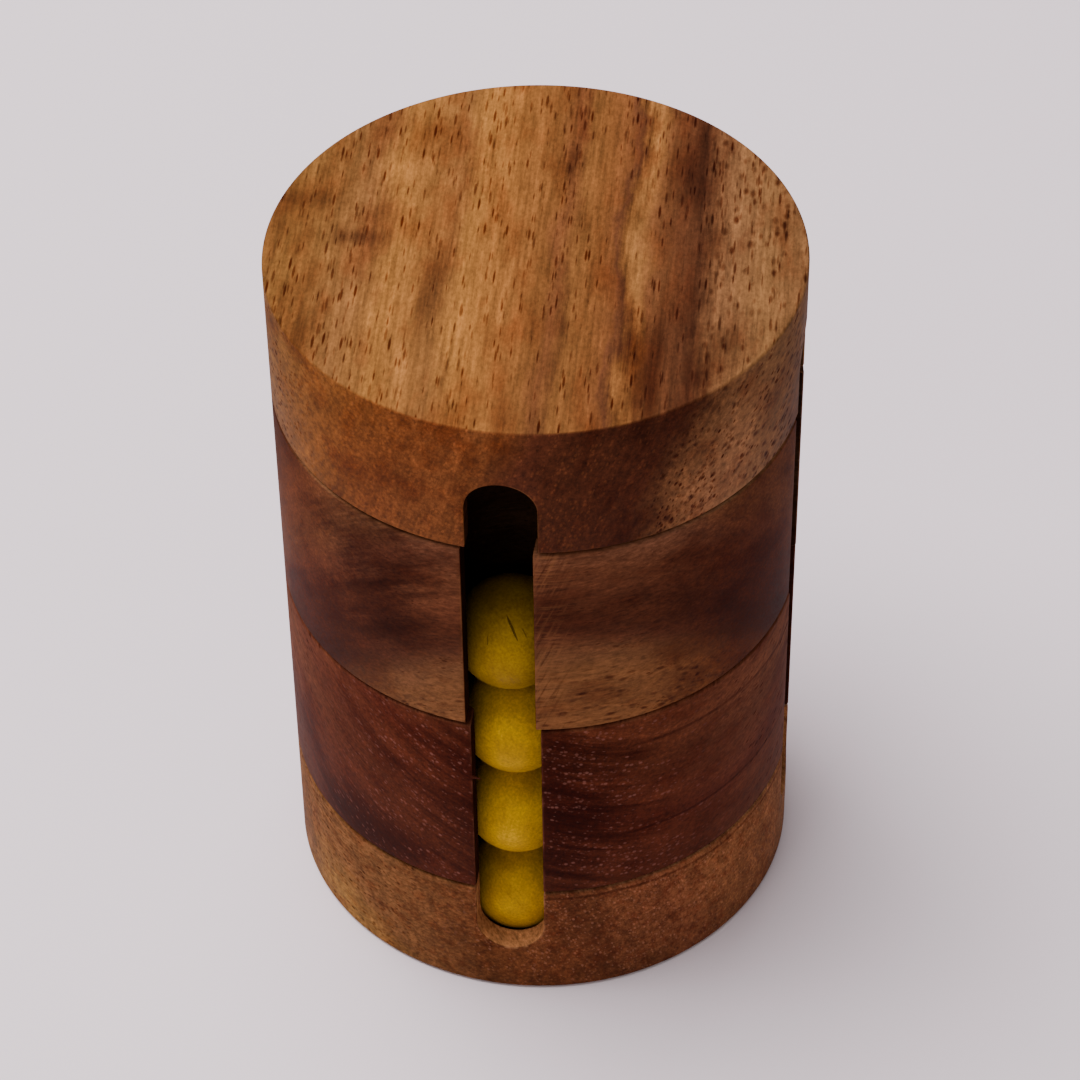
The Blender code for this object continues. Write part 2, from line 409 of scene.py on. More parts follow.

# %% [markdown]
# ## Wear, a painted highlight and tool marks
#
# Fingers rub the rims of the slots paler, in patches, and the paler rim also stands for a painted
# highlight along the slots' edges. A saw left steep and level scratches beside the upper ring's
# front slot, about 0.25 mm wide. The lathe left thin level lines, which fade out to one side
# because the ring doesn't run quite true.

# %% Rubbed rims with a painted highlight, saw marks and lathe lines
def rim_wear_and_highlight(tree, board, parts, grown):
    """1 on a slot's rim, fading to 0 in 0.3 mm: rubbed wear and a painted highlight."""
    off_x = add(tree, "Math", {0: parts[0]}, operation="ABSOLUTE")[0]
    off_y = add(tree, "Math", {0: parts[1]}, operation="ABSOLUTE")[0]
    off_centre = add(tree, "Math", {0: off_x, 1: off_y}, operation="MINIMUM")[0]
    past_end = add(tree, "Math", {0: parts[2], 1: board["slot_end"]}, operation="SUBTRACT")[0]
    past_end = add(tree, "Math", {0: past_end, 1: board["slot_end_side"]}, operation="MULTIPLY")[0]
    past_end = add(tree, "Math", {0: past_end, 1: 0.0}, operation="MAXIMUM")[0]
    from_middle = add(tree, "CombineXYZ", {0: off_centre, 1: past_end})[0]
    from_middle = add(tree, "VectorMath", {0: from_middle}, operation="LENGTH")["Value"]
    from_slot = add(tree, "Math", {0: from_middle, 1: 1000 * SLOT_WIDTH / 2}, operation="SUBTRACT")[0]
    ends = {0: from_slot, 1: 0.0, 2: 0.3, 3: 1.0, 4: 0.0}
    near = add(tree, "MapRange", ends, interpolation_type="SMOOTHSTEP")[0]
    patchy = add(tree, "MapRange", {0: grown["mottle"], 1: 0.45, 2: 0.62, 4: 0.45})[0]
    return add(tree, "Math", {0: near, 1: patchy}, operation="MULTIPLY")[0]


def saw_marks(tree, board, spot, parts, grown):
    """Returns the pale scratches and the dark ones, both between the two distances in board["scuffs"]."""
    from_x, to_x = board["scuffs"]
    lean = add(tree, "Mapping", {0: spot, "Rotation": (0, math.radians(-22), 0)})[0]
    steep = add(tree, "VectorMath", {0: lean, 1: (2.6, 0.3, 0.22)}, operation="MULTIPLY")["Vector"]
    steep = add(tree, "TexNoise", {0: steep, "Scale": 1.0, "Detail": 2.0})[0]
    flat = add(tree, "VectorMath", {0: spot, 1: (0.3, 0.3, 2.8)}, operation="MULTIPLY")["Vector"]
    flat = add(tree, "TexNoise", {0: flat, "Scale": 1.0, "Detail": 2.0})[0]
    begun = add(tree, "MapRange", {0: parts[0], 1: from_x, 2: from_x + 0.4})[0]
    ends = {0: parts[0], 1: from_x + 0.8, 2: to_x, 3: 1.0, 4: 0.0}
    left = add(tree, "MapRange", ends, interpolation_type="SMOOTHSTEP")[0]
    near = add(tree, "Math", {0: begun, 1: left}, operation="MULTIPLY")[0]
    patchy = add(tree, "MapRange", {0: grown["mottle"], 1: 0.38, 2: 0.58, 3: 0.35})[0]
    near = add(tree, "Math", {0: near, 1: patchy}, operation="MULTIPLY")[0]
    pale_steep = add(tree, "MapRange", {0: steep, 1: 0.54, 2: 0.66, 4: 0.5})[0]
    pale_flat = add(tree, "MapRange", {0: flat, 1: 0.54, 2: 0.66, 4: 0.45})[0]
    pale = add(tree, "Math", {0: pale_steep, 1: pale_flat}, operation="MAXIMUM")[0]
    pale = add(tree, "Math", {0: pale, 1: near}, operation="MULTIPLY")[0]
    cuts = add(tree, "MapRange", {0: steep, 1: 0.46, 2: 0.36, 4: 0.55})[0]
    cuts = add(tree, "Math", {0: cuts, 1: near}, operation="MULTIPLY")[0]
    return pale, cuts


def lathe_line(tree, parts, grown, line_level, starts_at):
    """A line 0.4 mm wide at a height, which begins softly at a distance to the right."""
    swing = add(tree, "Math", {0: grown["sway"], 1: 0.5}, operation="SUBTRACT")[0]
    off_line = add(tree, "Math", {0: parts[2], 1: line_level}, operation="SUBTRACT")[0]
    off_line = add(tree, "Math", {0: swing, 1: 1.5, 2: off_line}, operation="MULTIPLY_ADD")[0]
    off_line = add(tree, "Math", {0: off_line}, operation="ABSOLUTE")[0]
    ends = {0: off_line, 1: 0.08, 2: 0.38, 3: 0.55, 4: 0.0}
    line = add(tree, "MapRange", ends, interpolation_type="SMOOTHSTEP")[0]
    ends = {0: parts[0], 1: starts_at, 2: starts_at + 5.0}
    begun = add(tree, "MapRange", ends, interpolation_type="SMOOTHSTEP")[0]
    return add(tree, "Math", {0: line, 1: begun}, operation="MULTIPLY")[0]


# %% [markdown]
# ## The finishes of one board
#
# The outside is sanded and oiled: warm, matte and smooth. A slot's wall is milled and never
# sanded, so it is rougher. In the cap and the rings its colour is a painted shade, nearly black,
# for the shade inside the slots; in the base it is the tan of cut wood. A bored channel is painted
# nearly black in every layer, a painted shade for its dark inside. All three are the same board,
# so one function makes them. The wood has almost no shine, and the low IOR keeps a pale haze off
# the faces that are seen at a glancing angle.

# %% One face of a board
def acacia(name, board, surface_kind="oiled"):
    """surface_kind is the oiled outside, a slot's wall, or a drilled bore deep in a channel. The slot
    walls of the cap and the rings and every bore take a painted shade.
    """
    material = bpy.data.materials.new(name)
    material.use_nodes = True
    tree = material.node_tree
    surface = tree.nodes["Principled BSDF"]
    spot, in_board, across, end_grain = measured(tree, board)
    grown = grown_patterns(tree, board, in_board)
    depth = wandering(tree, board, across, grown)
    light = streak_light(tree, board, grown)

    stripe = striped(tree, depth, board["stripes"])
    if "end_stripes" in board:
        end_stripe = striped(tree, depth, board["end_stripes"])
        stripe = add(tree, "MixRGB", {0: end_grain, 1: stripe, 2: end_stripe})[0]
    else:
        oil_dark = {0: end_grain, 1: stripe, 2: tint(board["end_tint"])}
        stripe = add(tree, "MixRGB", oil_dark, blend_type="MULTIPLY")[0]
    colour = add(tree, "VectorMath", {0: stripe, "Scale": light}, operation="SCALE")["Vector"]
    ruddy = add(tree, "MapRange", {0: grown["mottle"], 1: 0.52, 2: 0.32, 4: 0.7})[0]
    colour = add(tree, "MixRGB", {0: ruddy, 1: colour, 2: tint("#f2d0c8")}, blend_type="MULTIPLY")[0]
    colour = stained(tree, board, spot, grown, colour)
    colour, pore = with_pores(tree, board, in_board, grown, depth, end_grain, colour)

    dark = tint(board["pore_tint"])
    parts = add(tree, "SeparateXYZ", {0: spot})
    wear_and_highlight = rim_wear_and_highlight(tree, board, parts, grown)
    if "scuffs" in board:
        pale, cuts = saw_marks(tree, board, spot, parts, grown)
        colour = add(tree, "MixRGB", {0: cuts, 1: colour, 2: dark}, blend_type="MULTIPLY")[0]
        wear_and_highlight = add(tree, "Math", {0: wear_and_highlight, 1: pale}, operation="MAXIMUM")[0]
    for line_level, starts_at in board.get("lathe_lines", ()):
        line = lathe_line(tree, parts, grown, line_level, starts_at)
        colour = add(tree, "MixRGB", {0: line, 1: colour, 2: dark}, blend_type="MULTIPLY")[0]
    if surface_kind == "oiled":
        # The slots' rims turn paler: rubbed wear and a painted highlight along the edges.
        colour = add(tree, "MixRGB", {0: wear_and_highlight, 1: colour, 2: tint(board["worn_and_highlight_colour"])})[0]
    else:
        # The walls take a painted shade: nearly black in the slots of the cap and the rings and in every
        # bore; the base's slot wall is tan cut wood.
        wall_colour_and_shade = {0: tint(board[surface_kind + "_colour"])[:3], "Scale": light}
        wall_colour_and_shade = add(tree, "VectorMath", wall_colour_and_shade, operation="SCALE")["Vector"]
        colour = add(tree, "MixRGB", {0: 0.85, 1: colour, 2: wall_colour_and_shade})[0]
    tree.links.new(colour, surface.inputs["Base Color"])

    dull = 0.0 if surface_kind == "oiled" else 0.2
    rough = add(tree, "MapRange", {0: grown["fibre"], 1: 0.25, 2: 0.75, 3: 0.58 + dull, 4: 0.72 + dull})[0]
    rough = add(tree, "Math", {0: pore, 1: 0.15, 2: rough}, operation="MULTIPLY_ADD")[0]
    tree.links.new(rough, surface.inputs["Roughness"])
    ridge = add(tree, "Math", {0: grown["fibre"], 1: 0.4}, operation="MULTIPLY")[0]
    pit = add(tree, "Math", {0: pore, 1: 0.5}, operation="MULTIPLY")[0]
    relief = add(tree, "Math", {0: ridge, 1: pit}, operation="SUBTRACT")[0]
    strength = 0.35 if surface_kind == "oiled" else 0.6
    bump = add(tree, "Bump", {"Height": relief, "Strength": strength, "Distance": 0.0001})[0]
    tree.links.new(bump, surface.inputs["Normal"])
    surface.inputs["IOR"].default_value = 1.22
    surface.inputs["Specular IOR Level"].default_value = 0.1 if surface_kind == "oiled" else 0.02
    return material


print("three finishes: oiled, milled and bored")

# %% [markdown]
# ## Four boards
#
# The cap's grain runs away from the viewer, so its top shows long dashes and its front shows end
# grain. A golden field on the left turns into a narrow red line and then a dark band on the right.
# The growth direction leans, which carries the same bands over the rim at a slant.
#
# The upper ring's grain runs from side to side, and its growth layers slope steeply backwards. A
# cylinder cuts sloping layers in arches, which is the shape of its dark band.
#
# The lower ring is end grain at the front, in a deep red-brown, with pale wax-filled pores.
#
# The base is a lighter board, golden on the left and rosy in front, with a lively figure.

# %% Board values
BOARDS = {
    "cap": {
        "grain": (-0.039, 1.0, 0.0),
        "growth": (1.0, 0.039, -0.34),
        "growth_start": 0.34 * 96.7,
        "wave_size": (18.0, 24.0, 18.0),
        "wander": 2.6,
        "fibre_size": (0.6, 9.0, 0.9),
        "band_size": (1.5, 40.0, 9.0),
        "mottle_size": (4.5, 12.0, 6.0),
        "ripple_size": (7.0, 3.5, 7.0),
        "ragged": 1.6,
        "fibre_depth": 0.6,
        "band_depth": 0.2,
        "mottle_depth": 0.2,
        "ripple_depth": 0.06,
        "stripes": [
            (-40, "#5c3b1e"), (-30, "#67441f"), (-26, "#6b4722"), (-21, "#6d4826"), (-17, "#7f5427"),
            (-13, "#7a5027"), (-11, "#6f4925"), (-8.5, "#825628"), (-4, "#7b4f25"), (-1, "#734923"),
            (1.6, "#66401f"), (3.2, "#5b361d"), (5.4, "#64401f"), (7.8, "#6c4321"), (9.6, "#683f21"),
            (10.4, "#4d2c1a"), (11.4, "#66401f"), (12.8, "#7c532b"), (14.2, "#5e3a20"), (16.5, "#502f1b"),
            (19.0, "#432616"), (20.5, "#52331e"), (23.5, "#6a482c"), (28, "#73502f"), (34, "#674529"),
            (40, "#4f3320"),
        ],
        "end_stripes": [
            (-40, "#70421a"), (-24, "#6d4119"), (-18, "#693c1a"), (-12, "#67391b"), (-6, "#6d3f20"),
            (-1, "#653a1d"), (4, "#4c2717"), (8, "#432213"), (13, "#432213"), (19, "#401f11"),
            (21.5, "#4c2c19"), (25, "#6e482c"), (30, "#8c6040"), (40, "#84603f"),
        ],
        "stains": [
            ((-11.4, -8.0, 96.7), (2.0, 9.5, 6.0), "#a3949e", 0.75),
            ((-21.5, 0.0, 96.7), (4.2, 2.6, 5.0), "#9a8a98", 0.75),
            ((-28.0, 6.5, 96.7), (5.0, 2.4, 5.0), "#a89a9e", 0.6),
            ((-16.0, 20.0, 96.7), (3.0, 6.0, 5.0), "#c0a8a0", 0.6),
            ((2.2, 17.0, 96.7), (2.0, 6.0, 5.0), "#a08884", 0.7),
            ((17.5, 18.0, 96.7), (3.5, 9.0, 5.0), "#9c8080", 0.6),
            ((15.0, -20.0, 96.7), (3.4, 15.0, 5.0), "#a08078", 0.85),
            ((23.0, -17.0, 96.7), (3.5, 8.0, 5.0), "#b8a298", 0.5),
        ],
        "blotchy": 5.0,
        "grit_depth": 0.22,
        "pores": [((0.64, 4.4, 1.0), 0.2, 1.3, 1.0), ((0.46, 3.4, 0.8), 0.1, 1.2, 0.9)],
        "pore_tint": "#8c5a40",
        "big_pores": (20.0, 42.0, (1.0, 1.9, 1.0)),
        "speck_light": 0.7,
        "speck_colour": "#8c5a34",
        "speck_blend": 0.15,
        # rubbed wear and a painted highlight along the slots' rims
        "worn_and_highlight_colour": "#85562f",
        # painted shade: the slot wall and the bores are painted nearly black for the shade inside them
        "slot_wall_and_painted_shade_colour": "#1d0f08",
        "bore_in_painted_shade_colour": "#0d0705",
    },
    "upper_ring": {
        "turned_back": -UPPER_RING_TURN,
        "grain": (1.0, 0.04, -0.02),
        "growth": (-0.26, 1.0, 1.0),
        "growth_start": 32.5,
        "wave_size": (26.0, 40.0, 30.0),
        "wander": 3.0,
        "fibre_size": (0.7, 9.0, 0.55),
        "band_size": (1.8, 30.0, 12.0),
        "mottle_size": (6.0, 12.0, 6.0),
        "ragged": 2.2,
        "fibre_depth": 0.5,
        "band_depth": 0.16,
        "mottle_depth": 0.28,
        "stripes": [
            (40, "#653f23"), (46, "#684225"), (52, "#6a4528"), (57, "#6b4629"), (59.5, "#624027"),
            (62.5, "#4c2b1b"), (66, "#442314"), (70, "#502c1b"), (74.5, "#593421"), (79.5, "#684430"),
            (85, "#705036"), (94, "#704d33"), (102, "#573a29"), (110, "#452818"), (118, "#5a361e"),
            (128, "#6b4426"), (138, "#472616"), (150, "#5a361f"), (165, "#422315"), (180, "#573520"),
        ],
        "end_tint": "#c09a86",
        "stains": [
            ((-15.0, -29.0, 64.0), (8.0, 9.0, 8.0), "#a08078", 0.7),
            ((-15.0, -29.0, 73.0), (11.0, 10.0, 7.0), "#a08078", 0.85),
        ],
        "blotchy": 6.0,
        "grit_depth": 0.22,
        "pores": [((0.62, 2.6, 0.62), 0.0, 0.5, 0.9), ((0.42, 1.6, 0.42), 0.1, 0.7, 0.6)],
        "pore_tint": "#8a6152",
        "big_pores": (40.0, 57.0, (1.0, 1.9, 1.0)),
        "speck_light": 0.5,
        "speck_colour": "#6e4a34",
        "speck_blend": 0.2,
        "scuffs": (4.0, 11.0),
        # rubbed wear and a painted highlight along the slots' rims
        "worn_and_highlight_colour": "#7c4f30",
        # painted shade: the slot wall and the bores are painted nearly black for the shade inside them
        "slot_wall_and_painted_shade_colour": "#160b06",
        "bore_in_painted_shade_colour": "#0d0705",
    },
    "lower_ring": {
        "grain": (0.0, 1.0, 0.39),
        "growth": (0.48, -0.39, 1.0),
        "growth_start": -0.39 * 32.5,
        "wave_size": (24.0, 50.0, 26.0),
        "wander": 2.5,
        "fibre_size": (0.55, 9.0, 0.6),
        "band_size": (1.3, 40.0, 14.0),
        "mottle_size": (4.5, 14.0, 6.0),
        "ragged": 1.4,
        "fibre_depth": 0.5,
        "band_depth": 0.15,
        "mottle_depth": 0.22,
        "stripes": [
            (-20, "#6a3c28"), (-5, "#553022"), (4, "#4c281c"), (9, "#4a261a"), (14, "#583020"),
            (20, "#56301f"), (24, "#583221"), (28, "#502b1d"), (33, "#5a3120"), (37, "#52291c"),
            (41, "#5b3221"), (46, "#55301f"), (51, "#643a26"), (58, "#58301f"), (66, "#6e462e"),
            (75, "#5c3525"),
        ],
        "end_tint": "#dcc4b8",
        "stains": [
            ((3.0, -32.0, 38.0), (15.0, 16.0, 26.0), "#a0767a", 0.85),
            ((9.0, -32.0, 31.0), (6.0, 10.0, 13.0), "#b59090", 0.5),
            ((-18.0, -26.0, 22.0), (12.0, 12.0, 6.0), "#8d6a70", 0.6),
        ],
        "blotchy": 5.0,
        "grit_depth": 0.22,
        "pores": [((0.8, 2.8, 0.9), 0.0, 1.2, 1.0), ((0.5, 1.8, 0.6), 0.1, 1.1, 0.6)],
        "pore_tint": "#8a5e50",
        "speck_light": 0.8,
        "speck_colour": "#80564c",
        "speck_blend": 0.6,
        "lathe_lines": ((43.2, 13.0), (28.0, 11.0)),
        # rubbed wear and a painted highlight along the slots' rims
        "worn_and_highlight_colour": "#7d4c38",
        # painted shade: the slot wall and the bores are painted nearly black for the shade inside them
        "slot_wall_and_painted_shade_colour": "#241009",
        "bore_in_painted_shade_colour": "#0f0806",
    },
    "base": {
        "grain": (0.64, -0.77, 0.05),
        "growth": (0.75, 0.62, 0.35),
        "growth_start": 0.0,
        "wave_size": (14.0, 26.0, 14.0),
        "wander": 3.5,
        "fibre_size": (0.5, 5.0, 0.6),
        "band_size": (1.6, 16.0, 6.0),
        "mottle_size": (1.5, 3.2, 1.5),
        "ripple_size": (5.0, 1.8, 5.0),
        "ragged": 2.0,
        "fibre_depth": 0.5,
        "band_depth": 0.16,
        "mottle_depth": 0.18,
        "ripple_depth": 0.16,
        "stripes": [
            (-45, "#6f4c28"), (-36, "#7c552d"), (-31, "#85602f"), (-28, "#6b4728"), (-22, "#694529"),
            (-14, "#6f482d"), (-8, "#69452e"), (-2, "#785238"), (4, "#84593e"), (12, "#916846"),
            (20, "#8f6745"), (30, "#8b6444"), (42, "#926a48"),
        ],
        "end_tint": "#d8c0b4",
        "blotchy": 4.0,
        "grit_depth": 0.36,
        "pores": [((0.6, 1.5, 0.9), 0.3, 1.1, 0.8), ((0.42, 1.2, 0.6), 0.3, 1.1, 0.7)],
        "pore_tint": "#8e6350",
        "speck_light": 0.8,
        "speck_colour": "#a87860",
        "speck_blend": 0.4,
        "lathe_lines": ((17.2, 2.0),),
        # rubbed wear and a painted highlight along the slots' rims
        "worn_and_highlight_colour": "#a87650",
        # the slot wall's tan is cut wood; the bores' near black is painted shade
        "slot_wall_and_painted_shade_colour": "#9c6a42",
        "bore_in_painted_shade_colour": "#120a06",
    },
}
print(len(BOARDS), "boards")

# %% [markdown]
# ## Finish the boards
#
# The rubbed rim, paler with wear and a painted highlight, follows a slot round its end. So the base
# and the cap also need the height, in millimetres, where a slot's round end is centred, and whether
# the slot ends below or above it.
# The rings' slots run right through, which a side of 0 says.

# %% Three finishes for each board
SURFACE_KINDS = ("oiled", "slot_wall_and_painted_shade", "bore_in_painted_shade")

for layer in LAYERS:
    low, high = level[layer]
    BOARDS[layer]["slot_end"], BOARDS[layer]["slot_end_side"] = {
        "base": (1000 * (high + SEAM_GAP / 2 - SLOT_END_FROM_SEAM), -1.0),
        "cap": (1000 * (low - SEAM_GAP / 2 + SLOT_END_FROM_SEAM), 1.0),
    }.get(layer, (0.0, 0.0))

finish = {
    layer: [acacia(f"{kind}_acacia_{layer}", BOARDS[layer], kind) for kind in SURFACE_KINDS]
    for layer in LAYERS
}
print("woods:", ", ".join(kinds[0].name for kinds in finish.values()))

# %% [markdown]
# ## Dyed wooden balls
#
# The balls are turned birch beads, dyed and waxed. A dye soaks in, so the fine grain still shows
# through it: slightly darker fibres, tiny dark pores, and a soft shine where the wax is. Each ball
# lies turned its own way. So the grain follows an attribute of the mesh, `bead_grain`, which holds
# where each point was in millimetres when the bead was still on the lathe. A second attribute holds
# a painted shade by row: the top ball of each column, which lies in the cap's shade, is painted
# much darker, and the balls below it a little or not at all.

# %% Bead finish
DYES = {
    "yellow": ("#cda000", "#a47b00"),
    "red": ("#a3251a", "#6e140e"),
    "green": ("#2f7a33", "#1a4c1f"),
    "blue": ("#20489a", "#122a66"),
}


def dyed_birch(name, bright, deep):
    material = bpy.data.materials.new(name)
    material.use_nodes = True
    tree = material.node_tree
    surface = tree.nodes["Principled BSDF"]
    spot = add(tree, "Attribute", attribute_name="bead_grain")["Vector"]
    fibre_cells = add(tree, "Mapping", {0: spot, "Scale": (2.2, 2.2, 0.22)})[0]
    fibre = add(tree, "TexNoise", {0: fibre_cells, "Scale": 1.0, "Detail": 4.0, "Roughness": 0.6})[0]
    cloud = add(tree, "TexNoise", {0: spot, "Scale": 0.22, "Detail": 3.0})[0]
    depth = add(tree, "Math", {0: fibre, 1: 0.55, 2: cloud}, operation="MULTIPLY_ADD")[0]
    depth = add(tree, "MapRange", {0: depth, 1: 0.55, 2: 1.0})[0]
    dye = add(tree, "MixRGB", {0: depth, 1: tint(deep), 2: tint(bright)})[0]
    grit = add(tree, "TexNoise", {0: spot, "Scale": 3.2, "Detail": 2.0})[0]
    grit = add(tree, "MapRange", {0: grit, 1: 0.3, 2: 0.7, 3: 0.78, 4: 1.22})[0]
    dye = add(tree, "VectorMath", {0: dye, "Scale": grit}, operation="SCALE")["Vector"]
    pore_cells = add(tree, "Mapping", {0: spot, "Scale": (1.6, 1.6, 0.5)})[0]
    pores = add(tree, "TexVoronoi", {"Vector": pore_cells, "Scale": 1.0})["Distance"]
    pore = add(tree, "MapRange", {0: pores, 1: 0.16, 2: 0.07})[0]
    pore = add(tree, "Math", {0: pore, 1: 0.5}, operation="MULTIPLY")[0]
    dye = add(tree, "MixRGB", {0: pore, 1: dye, 2: tint(deep)})[0]
    # painted shade: each ball is darkened by its row in the column
    row_shade = add(tree, "Attribute", attribute_name="painted_row_shade")["Fac"]
    dye = add(tree, "MixRGB", {0: row_shade, 1: dye, 2: tint("#b4b4a0")}, blend_type="MULTIPLY")[0]
    tree.links.new(dye, surface.inputs["Base Color"])
    rough = add(tree, "MapRange", {0: fibre, 1: 0.3, 2: 0.7, 3: 0.42, 4: 0.55})[0]
    tree.links.new(rough, surface.inputs["Roughness"])
    relief = add(tree, "Math", {0: fibre, 1: pore}, operation="SUBTRACT")[0]
    bump = add(tree, "Bump", {"Height": relief, "Strength": 0.3, "Distance": 0.00008})[0]
    tree.links.new(bump, surface.inputs["Normal"])
    surface.inputs["IOR"].default_value = 1.5
    surface.inputs["Specular IOR Level"].default_value = 0.08
    return material


dye = {colour: dyed_birch(f"dyed_birch_{colour}", *codes) for colour, codes in DYES.items()}
print("dyes:", ", ".join(dye))

# %% [markdown]
# ## Turn the four blanks
#
# Each layer starts as a blank: a cylinder at the layer's own size and height, with its two sharp
# rims eased by 0.3 mm, as sandpaper does on a lathe. In edit mode the rim edges are found by their
# height, and the bevel operator eases them. 192 sides look round. The blank is turned by half a
# side, so that no side's edge meets the edge of a slot.

# %% Blank and selection helpers
SIDES = 192


def nothing_selected():
    if bpy.context.mode != "OBJECT":
        bpy.ops.object.mode_set(mode="OBJECT")
    bpy.ops.object.select_all(action="DESELECT")


def at_work_on(piece):
    nothing_selected()
    piece.select_set(True)
    bpy.context.view_layer.objects.active = piece


def pick(kind, wanted):
    """In edit mode, selects the edges or faces whose middle point passes the test `wanted`."""
    bpy.ops.mesh.select_mode(type=kind)
    bpy.ops.mesh.select_all(action="DESELECT")
    shape = bmesh.from_edit_mesh(bpy.context.object.data)
    for part in (shape.edges if kind == "EDGE" else shape.faces):
        middle = sum((corner.co for corner in part.verts), Vector()) / len(part.verts)
        if wanted(part, middle):
            part.select_set(True)
    bmesh.update_edit_mesh(bpy.context.object.data)


def turned_blank(layer):
    low, high = level[layer]
    nothing_selected()
    bpy.ops.mesh.primitive_cylinder_add(
        vertices=SIDES,
        radius=barrel_radius,
        depth=high - low,
        location=(0, 0, (low + high) / 2),
        rotation=(0, 0, math.pi / SIDES),
    )
    blank = bpy.context.object
    blank.name = "turned_" + layer
    bpy.ops.object.transform_apply(location=True, rotation=True, scale=True)
    bpy.ops.object.mode_set(mode="EDIT")
    pick("EDGE", lambda edge, middle: min(abs(middle.z - low), abs(middle.z - high)) < 1e-6)
    bpy.ops.mesh.bevel(offset=EASED_RIM, segments=2)
    bpy.ops.object.mode_set(mode="OBJECT")
    return blank


turned = {layer: turned_blank(layer) for layer in LAYERS}
for piece in turned.values():
    print(piece.name, len(piece.data.polygons), "faces")

# %% [markdown]
# ## Shape the cutters
#
# A drill bores the ball channels, and a round-nosed router mills the slots. Both tools leave a
# round end in the base and in the cap. Each cutter is half of a primitive, a ball or a lying
# cylinder, cut flat by bisect through its middle. The flat face is then extruded along the
# channel. The rings are cut right through, so theirs run past both faces.

# %% Channel and slot cutters
PAST = 0.002  # how far a cutter runs past the face that it enters by


def drawn_out(name, end, reach):
    """Halves the new primitive at the height `end`, and draws the flat face out to the height `reach`."""
    tool = bpy.context.object
    tool.name = name
    bpy.ops.object.transform_apply(location=True, rotation=True, scale=True)
    bpy.ops.object.mode_set(mode="EDIT")
    bpy.ops.mesh.select_all(action="SELECT")
    upwards = reach < end
    bpy.ops.mesh.bisect(
        plane_co=(0, 0, end),
        plane_no=(0, 0, 1),
        use_fill=True,
        clear_inner=upwards,
        clear_outer=not upwards,
    )
    pick("FACE", lambda face, middle: abs(middle.z - end) < 1e-6 and abs(face.normal.z) > 0.99)
    bpy.ops.mesh.extrude_region_move(TRANSFORM_OT_translate={"value": (0, 0, reach - end)})
    bpy.ops.mesh.select_all(action="SELECT")
    bpy.ops.mesh.normals_make_consistent(inside=False)
    bpy.ops.object.mode_set(mode="OBJECT")
    return tool


def channel_cutter(layer):
    low, high = level[layer]
    nothing_selected()
    if layer not in POCKET_END:
        bpy.ops.mesh.primitive_cylinder_add(
            vertices=72,
            radius=CHANNEL_RADIUS,
            depth=high - low + 2 * PAST,
            location=(0, -column_radius, (low + high) / 2),
        )
        bpy.ops.object.transform_apply(location=True, rotation=True, scale=True)
        return bpy.context.object
    end = POCKET_END[layer]
    bpy.ops.mesh.primitive_uv_sphere_add(
        segments=72, ring_count=36, radius=CHANNEL_RADIUS, location=(0, -column_radius, end)
    )
    return drawn_out("channel_cutter", end, high + PAST if layer == "base" else low - PAST)


def slot_cutter(layer):
    low, high = level[layer]
    nothing_selected()
    outside = barrel_radius + PAST
    middle = -(column_radius + outside) / 2
    if layer not in POCKET_END:
        bpy.ops.mesh.primitive_cube_add(size=1.0, location=(0, middle, (low + high) / 2))
        tool = bpy.context.object
        tool.scale = (SLOT_WIDTH, outside - column_radius, high - low + 2 * PAST)
        bpy.ops.object.transform_apply(location=True, rotation=True, scale=True)
        return tool
    seam = high + SEAM_GAP / 2 if layer == "base" else low - SEAM_GAP / 2
    end = seam - SLOT_END_FROM_SEAM if layer == "base" else seam + SLOT_END_FROM_SEAM
    bpy.ops.mesh.primitive_cylinder_add(
        vertices=64,
        radius=SLOT_WIDTH / 2,
        depth=outside - column_radius,
        location=(0, middle, end),
        rotation=(math.pi / 2, 0, 0),
    )
    return drawn_out("slot_cutter", end, high + PAST if layer == "base" else low - PAST)


# %% [markdown]
# ## Bore and mill each layer
#
# A dividing head holds the work, and after each cut it turns by a quarter. A Boolean modifier does
# one cut, and `modifier_apply` makes it final. The dowel's bore comes last: a blind socket in the
# base and the cap, and a hole right through each ring.

# %% Cut the layers
def cut_away(piece, tool):
    at_work_on(piece)
    bore = piece.modifiers.new("cut", "BOOLEAN")
    bore.operation = "DIFFERENCE"
    bore.solver = "EXACT"
    bore.object = tool
    bpy.ops.object.modifier_apply(modifier="cut")


def dowel_cutter(layer):
    low, high = level[layer]
    gap = DOWEL_GAP
    if layer == "base":
        low, high = high - DOWEL_SOCKET, high + PAST
    elif layer == "cap":
        low, high = low - PAST, low + DOWEL_SOCKET
    else:
        low, high, gap = low - PAST, high + PAST, RING_BORE_GAP
    nothing_selected()
    bpy.ops.mesh.primitive_cylinder_add(
        vertices=64,
        radius=DOWEL_RADIUS + gap,
        depth=high - low,
        location=(0, 0, (low + high) / 2),
    )
    bpy.ops.object.transform_apply(location=True, rotation=True, scale=True)
    return bpy.context.object


for layer, piece in turned.items():
    tools = ((channel_cutter(layer), COLUMNS), (slot_cutter(layer), COLUMNS), (dowel_cutter(layer), 1))
    for tool, cuts in tools:
        for quarter in range(cuts):
            tool.rotation_euler.z = quarter * 2 * math.pi / COLUMNS
            cut_away(piece, tool)
        bpy.data.objects.remove(tool)
    print(piece.name, len(piece.data.polygons), "faces after cutting")

# %% [markdown]
# ## Ease the slots' edges
#
# A milled edge in hardwood is crisp but never knife-sharp: a wipe of sandpaper leaves a flat of a
# fraction of a millimetre that catches the light. After the cuts, the edges to ease are the sharp
# ones that lie in the barrel's outer face. Close corners are merged first, because a bevel can't
# be wider than the shortest edge beside it.

